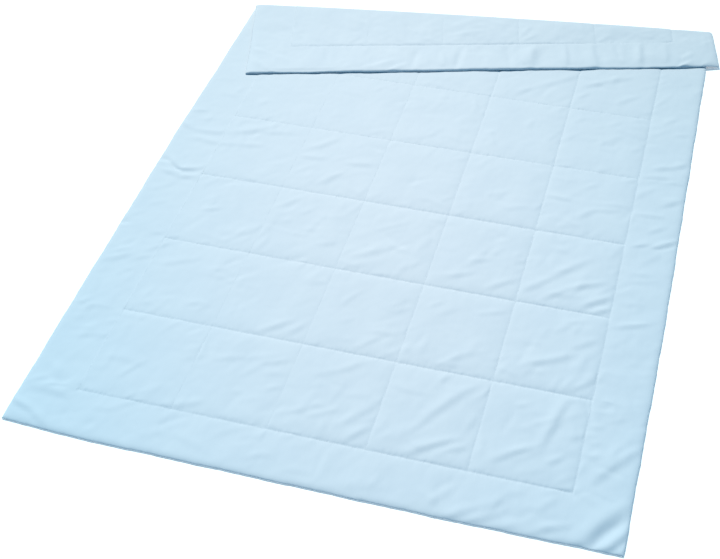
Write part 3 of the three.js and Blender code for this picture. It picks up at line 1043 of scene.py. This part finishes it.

# %% [markdown]
# ## The thread's finish
# The thread is the same cotton and a little glossier. Its colour is painted a trace lighter than the
# cover's, a painted lift against the shade that falls on the small stitches. The twist of its strands is a
# fine slanting wave.

# %% Thread material
# painted light: both thread colours sit a trace above the cover's, to lift the shade on the stitches
THREAD_PALE, THREAD_DEEP = (0.57, 0.64, 0.715, 1), (0.54, 0.615, 0.7, 1)
THREAD_TONE_SCALE, TWIST_SCALE = 60, 700


def thread_material():
    made, tree, shader = new_material("blue_sewing_thread")
    place = node(tree, "ShaderNodeTexCoord", (-900, 0)).outputs["Object"]
    tone = node(tree, "ShaderNodeTexNoise", (-700, 200))
    tone.inputs["Scale"].default_value = THREAD_TONE_SCALE
    tree.links.new(place, tone.inputs["Vector"])
    colour = mixed(tree, (-400, 200), tone.outputs["Fac"], THREAD_PALE, THREAD_DEEP)
    tree.links.new(colour, shader.inputs["Base Color"])
    twist = node(tree, "ShaderNodeTexWave", (-700, -200), bands_direction="DIAGONAL")
    twist.inputs["Scale"].default_value = TWIST_SCALE
    tree.links.new(place, twist.inputs["Vector"])
    tree.links.new(bump(tree, (-400, -200), twist.outputs["Fac"], 0.3, 0.0001), shader.inputs["Normal"])
    shader.inputs["Roughness"].default_value = 0.55
    return made


stitching.data.materials.append(thread_material())
print("thread material with", len(stitching.data.materials[0].node_tree.nodes), "nodes")

# %% [markdown]
# ## Floor and light
# The duvet lies on a plain pale floor. It glows a little so that it stays white, and more so far off,
# where the lamp's light thins out. One soft round lamp stands far off behind the duvet to the left, so the
# far wall of each groove is dark and the near one bright. A gel warms a slanting oval of its light and
# cools the rest. A blue sky fills the shadows, and the camera sees a white backdrop in its place.

# %% Floor
FLOOR_SIZE, FLOOR_DROP = 16, 0.0004
FLOOR_PALE, FLOOR_SHADE, MOTTLE_SCALE = (0.93, 0.935, 0.94, 1), (0.91, 0.92, 0.93, 1), 3
GLOW, NEAR_GLOW, FAR_GLOW = 0.49, (0.41, 0.41, 0.41, 1), (1, 1, 1, 1)
GLOW_START, GLOW_FULL = 2.5, 6
bpy.ops.mesh.primitive_plane_add(size=FLOOR_SIZE, location=(0, 0, -FLOOR_DROP))
floor = bpy.context.object
floor.name = "pale_floor"
paint, tree, shader = new_material("pale_floor_paint")
mottle = node(tree, "ShaderNodeTexNoise", (-500, 0))
mottle.inputs["Scale"].default_value = MOTTLE_SCALE
shade = mixed(tree, (-250, 0), mottle.outputs["Fac"], FLOOR_PALE, FLOOR_SHADE)
tree.links.new(shade, shader.inputs["Base Color"])
away = node(tree, "ShaderNodeVectorMath", (-700, -300), operation="LENGTH")
tree.links.new(node(tree, "ShaderNodeTexCoord", (-900, -300)).outputs["Object"], away.inputs[0])
far_off = share_between(tree, (-500, -300), away.outputs["Value"], GLOW_START, GLOW_FULL, "SMOOTHSTEP")
tree.links.new(mixed(tree, (-250, -300), far_off, NEAR_GLOW, FAR_GLOW), shader.inputs["Emission Color"])
shader.inputs["Emission Strength"].default_value = GLOW
shader.inputs["Roughness"].default_value = 0.9
shader.inputs["Specular IOR Level"].default_value = 0.1
floor.data.materials.append(paint)
print("floor", FLOOR_DROP / MM, "mm below the cloth")

# %% The key light and its gel
KEY_PLACE, KEY_RADIUS, KEY_WATTS = (-5.2, 6.6, 14.4), 0.4, 15800
FAR_COLOUR, NEAR_COLOUR = (0.778, 0.741, 0.633, 1), (0.715, 0.828, 0.794, 1)
WARM_COLOUR = (0.968, 0.882, 0.771, 1)
OVAL_MIDDLE, OVAL_TURN, OVAL_HALVES = (-0.02, -0.22, 0), math.radians(-72), (2.2, 1.1, 1)


def add_gel(tree):
    """Colour the light by where on the floor it lands."""
    ray = node(tree, "ShaderNodeSeparateXYZ", (-1300, 0))
    tree.links.new(node(tree, "ShaderNodeNewGeometry", (-1500, 0)).outputs["Normal"], ray.inputs[0])
    length = maths(tree, "DIVIDE", (-1100, 200), KEY_PLACE[2], ray.outputs[2])
    steps = [maths(tree, "MULTIPLY", (-920, -150 * k), ray.outputs[k], length) for k in range(2)]
    landing = [maths(tree, "SUBTRACT", (-740, -150 * k), KEY_PLACE[k], steps[k]) for k in range(2)]
    spot = node(tree, "ShaderNodeCombineXYZ", (-560, 0))
    for k in range(2):
        tree.links.new(landing[k], spot.inputs[k])
    oval = node(tree, "ShaderNodeMapping", (-380, 0), vector_type="TEXTURE")
    oval.inputs["Location"].default_value = OVAL_MIDDLE
    oval.inputs["Rotation"].default_value = (0, 0, OVAL_TURN)
    oval.inputs["Scale"].default_value = OVAL_HALVES
    tree.links.new(spot.outputs[0], oval.inputs["Vector"])
    outward = node(tree, "ShaderNodeVectorMath", (-200, 0), operation="LENGTH")
    tree.links.new(oval.outputs[0], outward.inputs[0])
    to_near_end = share_between(tree, (-200, 250), landing[1], 1, -1, "LINEAR")
    to_middle = share_between(tree, (-20, 0), outward.outputs["Value"], 1, 0, "SMOOTHSTEP")
    cool = mixed(tree, (-20, 300), to_near_end, FAR_COLOUR, NEAR_COLOUR)
    gel = mixed(tree, (180, 150), to_middle, cool, WARM_COLOUR)
    tree.links.new(gel, tree.nodes["Emission"].inputs["Color"])


key = bpy.data.lights.new("key_light", "POINT")
key.use_soft_falloff = True
key.shadow_soft_size = KEY_RADIUS
key.energy = KEY_WATTS
key.use_nodes = True
add_gel(key.node_tree)
lamp = bpy.data.objects.new("key_light", key)
lamp.location = KEY_PLACE
scene.collection.objects.link(lamp)
print("key light of", KEY_WATTS, "W with a gel of", len(key.node_tree.nodes), "nodes")

# %% Sky
SKY_COLOUR, BACKDROP_COLOUR = (0.048, 0.236, 0.385, 1), (1, 1, 1, 1)
world = bpy.data.worlds.new("blue_sky")
world.use_nodes = True
tree = world.node_tree
seen = node(tree, "ShaderNodeLightPath", (-500, 200)).outputs["Is Camera Ray"]
sky = mixed(tree, (-250, 200), seen, SKY_COLOUR, BACKDROP_COLOUR)
tree.links.new(sky, tree.nodes["Background"].inputs["Color"])
scene.world = world
scene.view_settings.view_transform = "Standard"
print("sky of", SKY_COLOUR[:3], "in front of a white backdrop")

# %% [markdown]
# ## Standing in for the imported solid
# The cloth, padded with little filling, stands for the imported solid, which is hidden, and rides on the
# one body of the model. The thread goes with it.

# %% Attach to the body and hide the imported solid
for piece in (duvet, stitching):
    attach(piece, "root")
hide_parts("duvet")
